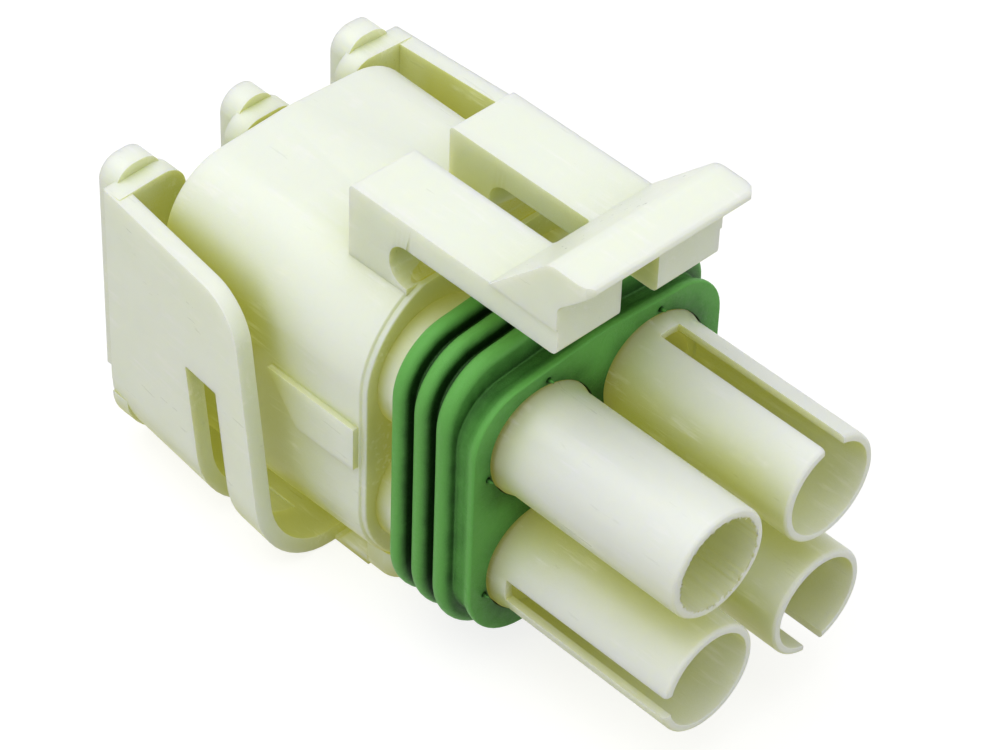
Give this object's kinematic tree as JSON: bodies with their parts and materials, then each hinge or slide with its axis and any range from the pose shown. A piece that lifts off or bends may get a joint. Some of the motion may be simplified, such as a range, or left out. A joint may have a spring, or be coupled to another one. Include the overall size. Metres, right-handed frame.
{
  "type": "sealed wire connector",
  "caption": "Sealed rectangular wire connector with slotted round towers, a ribbed ring seal, a latch loop and a hinged rear lock.",
  "frame": {"origin": "middle of the plane through the tips of the four towers", "axes": "+Y from the mating face toward the wires, +Z toward the latch loop, +X across"},
  "size_m": [0.0234, 0.04, 0.0281],
  "materials": {
    "natural_nylon": "undyed moulded nylon, satin, slightly see-through",
    "seal_silicone": "soft silicone, satin",
    "contact_metal": "tin plated, satin"
  },
  "bodies": {
    "housing": {"housing": "natural_nylon", "interface_seal": "seal_silicone", "contact_pin_1": "contact_metal", "contact_pin_2": "contact_metal", "contact_pin_3": "contact_metal", "contact_pin_4": "contact_metal", "cable_seal_1": "seal_silicone", "cable_seal_2": "seal_silicone", "cable_seal_3": "seal_silicone", "cable_seal_4": "seal_silicone"},
    "latch_loop": {"latch_loop": "natural_nylon"},
    "rear_lock": {"rear_lock": "natural_nylon"}
  },
  "joints": [
    {"name": "latch_lift", "type": "hinge", "parent": "housing", "child": "latch_loop", "pos_m": [0, 0.0208, 0.01377], "axis": [-1, 0, 0], "range_deg": [0, 8], "stiffness_Nm_per_rad": 0.3},
    {"name": "rear_lock_swing", "type": "hinge", "parent": "housing", "child": "rear_lock", "pos_m": [0, 0.02465, -0.0104], "axis": [-1, 0, 0], "range_deg": [0, 95]}
  ]
}
